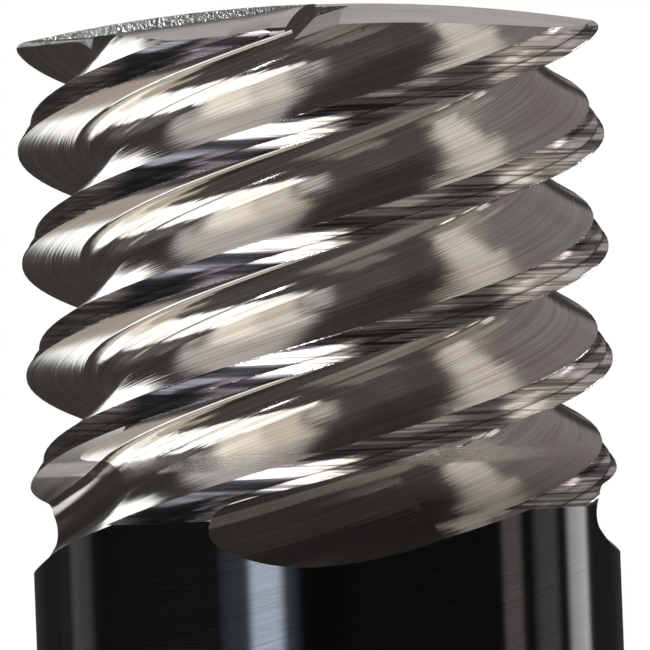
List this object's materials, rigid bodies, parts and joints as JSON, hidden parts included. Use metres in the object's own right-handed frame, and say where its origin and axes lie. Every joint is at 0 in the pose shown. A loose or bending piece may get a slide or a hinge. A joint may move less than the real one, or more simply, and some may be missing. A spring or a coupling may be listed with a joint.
{
  "type": "endmill",
  "caption": "Square-end milling cutter with right-hand helical flutes, gashed end teeth and a plain cylindrical shank.",
  "frame": {"origin": "middle of the shank's flat end face", "axes": "+Z along the tool's axis, from the shank to the cutting end"},
  "size_m": [0.02, 0.02, 0.0685],
  "materials": {
    "ground_carbide": "ground and polished carbide, dark grey, with fine lines round the shank and along the flutes"
  },
  "bodies": {
    "root": {"endmill": "ground_carbide"}
  },
  "joints": []
}
